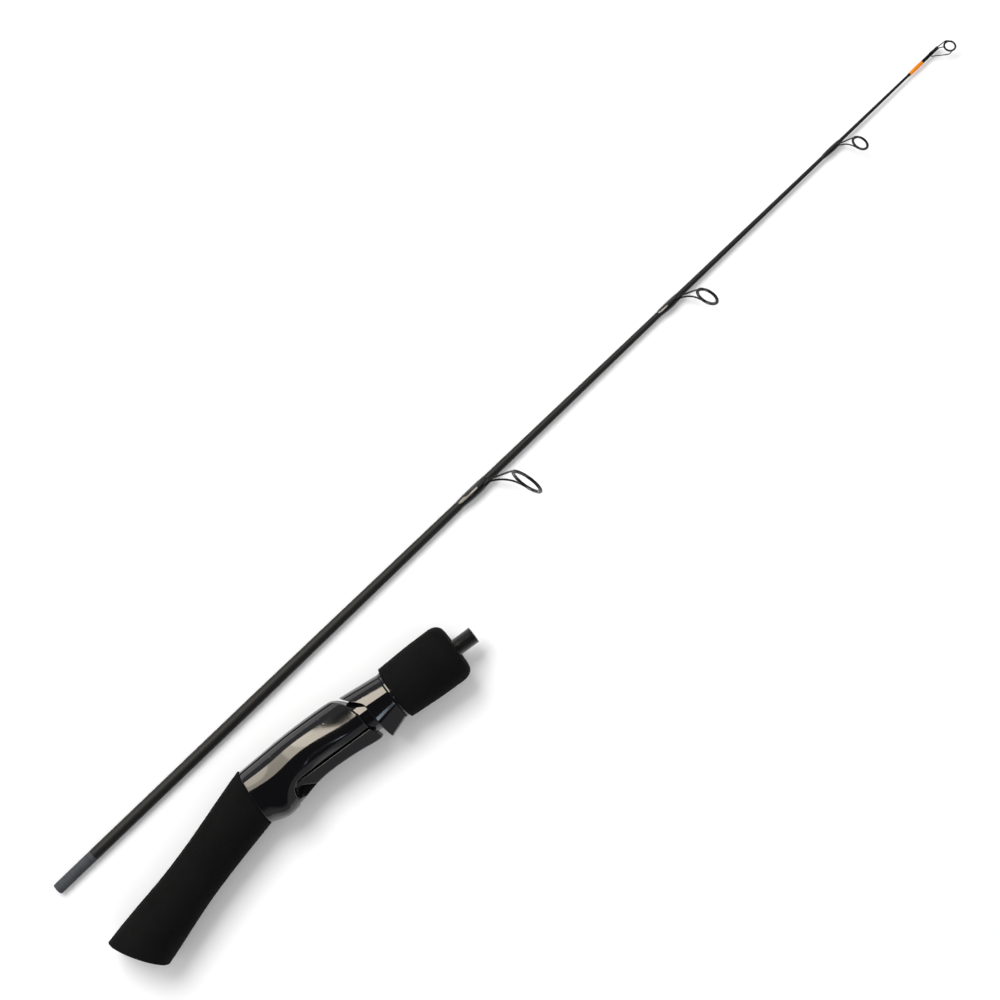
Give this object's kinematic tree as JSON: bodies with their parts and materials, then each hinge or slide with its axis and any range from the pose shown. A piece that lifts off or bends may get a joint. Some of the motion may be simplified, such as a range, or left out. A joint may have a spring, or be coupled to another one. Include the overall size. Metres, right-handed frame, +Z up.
{
  "type": "ice fishing rod",
  "caption": "Two-piece ice fishing rod lying taken down: slim guided tip section beside a short bent handle with a screw-down reel seat and foam grips.",
  "frame": {"origin": "middle of the footprint, on the surface the rod lies on", "axes": "+X along the blank from its butt to its tip, +Z up, the handle on the -Y side of the blank"},
  "size_m": [0.5646, 0.0625, 0.0303],
  "materials": {
    "blank_carbon": "matt black carbon tube with a fine tape ridge, sanded grey at the butt",
    "guide_black": "black coated stainless wire, semi-gloss",
    "guide_insert": "polished dark ceramic ring",
    "thread": "black nylon whipping thread",
    "epoxy_black": "clear epoxy over black thread, high gloss",
    "orange_mark": "orange whipping under clear epoxy",
    "tube_gloss": "black lacquered carbon tube, high gloss",
    "bush": "plain grey moulding, hidden",
    "seat_gloss": "black moulded seat under clear lacquer, high gloss",
    "ring_gloss": "black moulded ring, gloss",
    "nut_plastic": "black moulded nut, satin",
    "eva_foam": "black closed-cell EVA foam, ground matt, fine grain"
  },
  "bodies": {
    "handle": {"socket_tube": "tube_gloss", "tube_bush_front": "bush", "tube_bush_rear": "bush", "seat_body": "seat_gloss", "grip_core": "bush", "rear_grip": "eva_foam"},
    "hood": {"moving_hood": "seat_gloss", "hood_ring": "ring_gloss"},
    "nut": {"lock_nut": "nut_plastic", "fore_grip": "eva_foam"},
    "tip_section": {"blank": "blank_carbon", "guide_frame_1": "guide_black", "guide_frame_2": "guide_black", "guide_frame_3": "guide_black", "guide_ring_1": "guide_insert", "guide_ring_2": "guide_insert", "guide_ring_3": "guide_insert", "wrap_thread_1": "thread", "wrap_thread_2": "thread", "wrap_thread_3": "thread", "wrap_coat_1": "epoxy_black", "wrap_coat_2": "epoxy_black", "wrap_coat_3": "epoxy_black", "tip_top_tube": "guide_black", "tip_top_frame": "guide_black", "tip_top_ring": "guide_insert", "tip_mark_wrap": "orange_mark", "tip_trim_wrap": "epoxy_black"}
  },
  "joints": [
    {"name": "hood_slide", "type": "slide", "parent": "handle", "child": "hood", "axis": [0.992, -0.126, 0], "range_m": [-0.0016, 0.0081]},
    {"name": "nut_turn", "type": "hinge", "parent": "hood", "child": "nut", "pos_m": [-0.06279, -0.0188, 0.0143], "axis": [0.992, -0.126, 0], "range_deg": [-270, 1440]},
    {"name": "blank_lift", "type": "slide", "parent": "handle", "child": "tip_section", "axis": [0, 0, 1], "range_m": [0, 0.06]}
  ],
  "couplings": [
    {"joint": "hood_slide", "follows": "nut_turn", "m_per_rad": 0.00031831}
  ]
}
